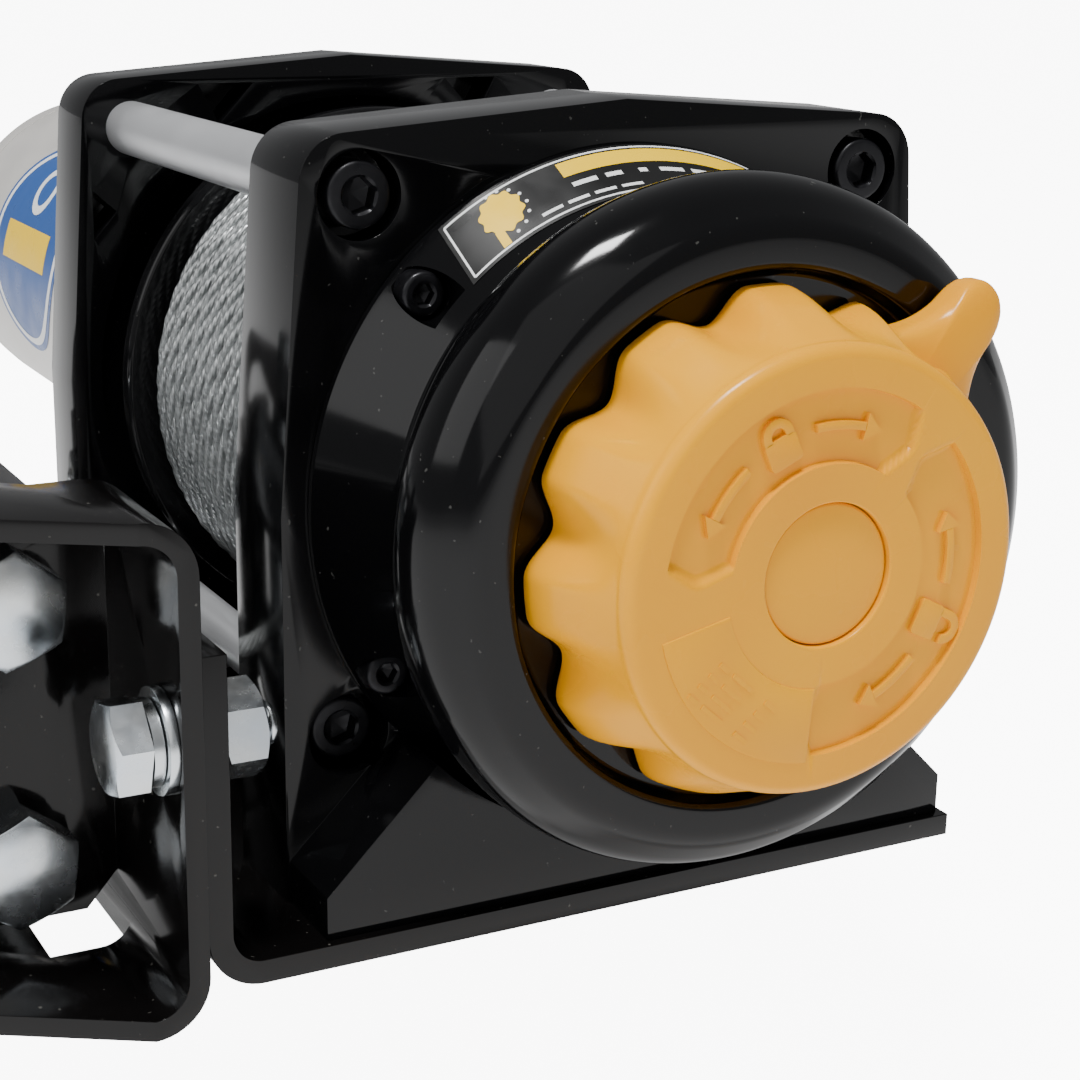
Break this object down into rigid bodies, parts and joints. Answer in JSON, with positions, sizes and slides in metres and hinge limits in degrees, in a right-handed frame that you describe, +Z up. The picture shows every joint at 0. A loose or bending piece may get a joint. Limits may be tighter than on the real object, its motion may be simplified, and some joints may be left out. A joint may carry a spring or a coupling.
{
  "type": "electric drum winch",
  "caption": "Small electric wire-rope drum winch with planetary gearbox, turning free-spool knob, angle mounting plate, roller fairlead and hook.",
  "frame": {"origin": "centre of the four vehicle bolt holes, on the underside of the mounting plate", "axes": "+X along the drum axis from motor to gearbox knob, -Y towards the fairlead and hook, +Z up"},
  "size_m": [0.3327, 0.2339, 0.1554],
  "materials": {
    "black_enamel": "gloss enamel on die-cast aluminium",
    "black_powder_coat": "gloss powder coat on pressed steel",
    "black_oxide": "black oxide",
    "zinc_steel": "bright zinc plate",
    "rod_steel": "satin zinc",
    "roller_steel": "bright zinc plate",
    "yellow_plastic": "gloss moulded",
    "gear_steel": "machined",
    "spring_steel": "oiled",
    "drum_steel": "satin black",
    "wire_rope": "galvanised strands",
    "nylon": "moulded",
    "silver_paint": "satin silver",
    "magnet": "sintered",
    "laminations": "varnished",
    "copper": "turned",
    "carbon": "pressed",
    "crimp_aluminium": "pressed",
    "forged_steel": "zinc on forged steel"
  },
  "bodies": {
    "frame": {"brushes": "carbon", "clutch_spring": "spring_steel", "drum_bushes": "nylon", "fairlead_bolts": "zinc_steel", "fairlead_frame": "black_powder_coat", "fairlead_nuts": "zinc_steel", "fairlead_washers": "zinc_steel", "foot_bolts": "black_oxide", "foot_nuts": "zinc_steel", "gear_housing": "black_enamel", "gearbox_end_plate": "black_enamel", "housing_screws": "black_oxide", "motor_bearings": "gear_steel", "motor_can": "silver_paint", "motor_end_cap": "silver_paint", "motor_end_plate": "black_enamel", "motor_magnets": "magnet", "mounting_plate": "black_powder_coat", "ring_gear": "gear_steel", "roller_bolts": "zinc_steel", "roller_nuts": "zinc_steel", "rope_eye": "crimp_aluminium", "rope_tail": "wire_rope", "terminal_nuts": "zinc_steel", "terminal_studs": "copper", "tie_rod_screws": "black_oxide", "tie_rods": "rod_steel"},
    "drum": {"drum": "drum_steel", "rope_winding": "wire_rope", "planet_carrier_3": "gear_steel"},
    "carrier_2": {"planet_carrier_2": "gear_steel"},
    "carrier_1": {"planet_carrier_1": "gear_steel"},
    "shaft": {"input_shaft": "gear_steel", "sun_gear": "gear_steel", "brake_hub": "gear_steel", "brake_spring": "spring_steel", "armature": "laminations", "armature_shaft": "gear_steel", "commutator": "copper"},
    "clutch": {"clutch_plate": "gear_steel"},
    "knob": {"clutch_knob": "yellow_plastic", "knob_cap": "yellow_plastic", "knob_screw": "gear_steel"},
    "roller_upper": {"roller_upper": "roller_steel"},
    "roller_lower": {"roller_lower": "roller_steel"},
    "roller_left": {"roller_left": "roller_steel"},
    "roller_right": {"roller_right": "roller_steel"},
    "hook": {"hook": "forged_steel", "hook_pin": "zinc_steel"},
    "hook_latch": {"hook_latch": "spring_steel"},
    "planet_1a": {"planet_gear_1a": "gear_steel"},
    "planet_1b": {"planet_gear_1b": "gear_steel"},
    "planet_1c": {"planet_gear_1c": "gear_steel"},
    "planet_2a": {"planet_gear_2a": "gear_steel"},
    "planet_2b": {"planet_gear_2b": "gear_steel"},
    "planet_2c": {"planet_gear_2c": "gear_steel"},
    "planet_3a": {"planet_gear_3a": "gear_steel"},
    "planet_3b": {"planet_gear_3b": "gear_steel"},
    "planet_3c": {"planet_gear_3c": "gear_steel"}
  },
  "joints": [
    {"name": "drum_spin", "type": "hinge", "parent": "frame", "child": "drum", "pos_m": [0, 0, 0.0655], "axis": [1, 0, 0], "continuous": true},
    {"name": "carrier_2_spin", "type": "hinge", "parent": "frame", "child": "carrier_2", "pos_m": [0.068, 0, 0.0655], "axis": [1, 0, 0], "continuous": true},
    {"name": "carrier_1_spin", "type": "hinge", "parent": "frame", "child": "carrier_1", "pos_m": [0.08, 0, 0.0655], "axis": [1, 0, 0], "continuous": true},
    {"name": "shaft_spin", "type": "hinge", "parent": "frame", "child": "shaft", "pos_m": [0, 0, 0.0655], "axis": [1, 0, 0], "continuous": true},
    {"name": "planet_1a_spin", "type": "hinge", "parent": "carrier_1", "child": "planet_1a", "pos_m": [0.0867, 0, 0.088], "axis": [1, 0, 0], "continuous": true},
    {"name": "planet_1b_spin", "type": "hinge", "parent": "carrier_1", "child": "planet_1b", "pos_m": [0.0867, -0.01949, 0.05425], "axis": [1, 0, 0], "continuous": true},
    {"name": "planet_1c_spin", "type": "hinge", "parent": "carrier_1", "child": "planet_1c", "pos_m": [0.0867, 0.01949, 0.05425], "axis": [1, 0, 0], "continuous": true},
    {"name": "planet_2a_spin", "type": "hinge", "parent": "carrier_2", "child": "planet_2a", "pos_m": [0.0739, 0, 0.088], "axis": [1, 0, 0], "continuous": true},
    {"name": "planet_2b_spin", "type": "hinge", "parent": "carrier_2", "child": "planet_2b", "pos_m": [0.0739, -0.01949, 0.05425], "axis": [1, 0, 0], "continuous": true},
    {"name": "planet_2c_spin", "type": "hinge", "parent": "carrier_2", "child": "planet_2c", "pos_m": [0.0739, 0.01949, 0.05425], "axis": [1, 0, 0], "continuous": true},
    {"name": "planet_3a_spin", "type": "hinge", "parent": "drum", "child": "planet_3a", "pos_m": [0.0607, 0, 0.088], "axis": [1, 0, 0], "continuous": true},
    {"name": "planet_3b_spin", "type": "hinge", "parent": "drum", "child": "planet_3b", "pos_m": [0.0607, -0.01949, 0.05425], "axis": [1, 0, 0], "continuous": true},
    {"name": "planet_3c_spin", "type": "hinge", "parent": "drum", "child": "planet_3c", "pos_m": [0.0607, 0.01949, 0.05425], "axis": [1, 0, 0], "continuous": true},
    {"name": "knob_turn", "type": "hinge", "parent": "frame", "child": "knob", "pos_m": [0.11, 0, 0.0655], "axis": [1, 0, 0], "range_deg": [0, 90]},
    {"name": "clutch_slide", "type": "slide", "parent": "frame", "child": "clutch", "axis": [1, 0, 0], "range_m": [0, 0.003]},
    {"name": "roller_upper_spin", "type": "hinge", "parent": "frame", "child": "roller_upper", "pos_m": [0, -0.0948, 0.0528], "axis": [1, 0, 0], "continuous": true},
    {"name": "roller_lower_spin", "type": "hinge", "parent": "frame", "child": "roller_lower", "pos_m": [0, -0.0948, 0.0115], "axis": [1, 0, 0], "continuous": true},
    {"name": "roller_left_spin", "type": "hinge", "parent": "frame", "child": "roller_left", "pos_m": [-0.0325, -0.1176, 0.0335], "axis": [0, 0, 1], "continuous": true},
    {"name": "roller_right_spin", "type": "hinge", "parent": "frame", "child": "roller_right", "pos_m": [0.0325, -0.1176, 0.0335], "axis": [0, 0, 1], "continuous": true},
    {"name": "hook_swing", "type": "hinge", "parent": "frame", "child": "hook", "pos_m": [0, -0.158, 0.0264], "axis": [1, 0, 0], "range_deg": [-100, 10]},
    {"name": "latch_open", "type": "hinge", "parent": "hook", "child": "hook_latch", "pos_m": [0, -0.1589, 0.0058], "axis": [1, 0, 0], "range_deg": [0, 26], "stiffness_Nm_per_rad": 0.02, "springref_deg": -20.05}
  ],
  "couplings": [
    {"joint": "carrier_2_spin", "follows": "drum_spin", "ratio": 5},
    {"joint": "carrier_1_spin", "follows": "drum_spin", "ratio": 25},
    {"joint": "shaft_spin", "follows": "drum_spin", "ratio": 125},
    {"joint": "planet_1a_spin", "follows": "drum_spin", "ratio": -66.667},
    {"joint": "planet_1b_spin", "follows": "drum_spin", "ratio": -66.667},
    {"joint": "planet_1c_spin", "follows": "drum_spin", "ratio": -66.667},
    {"joint": "planet_2a_spin", "follows": "drum_spin", "ratio": -13.333},
    {"joint": "planet_2b_spin", "follows": "drum_spin", "ratio": -13.333},
    {"joint": "planet_2c_spin", "follows": "drum_spin", "ratio": -13.333},
    {"joint": "planet_3a_spin", "follows": "drum_spin", "ratio": -2.6667},
    {"joint": "planet_3b_spin", "follows": "drum_spin", "ratio": -2.6667},
    {"joint": "planet_3c_spin", "follows": "drum_spin", "ratio": -2.6667},
    {"joint": "clutch_slide", "follows": "knob_turn", "m_per_rad": 0.0019099}
  ]
}
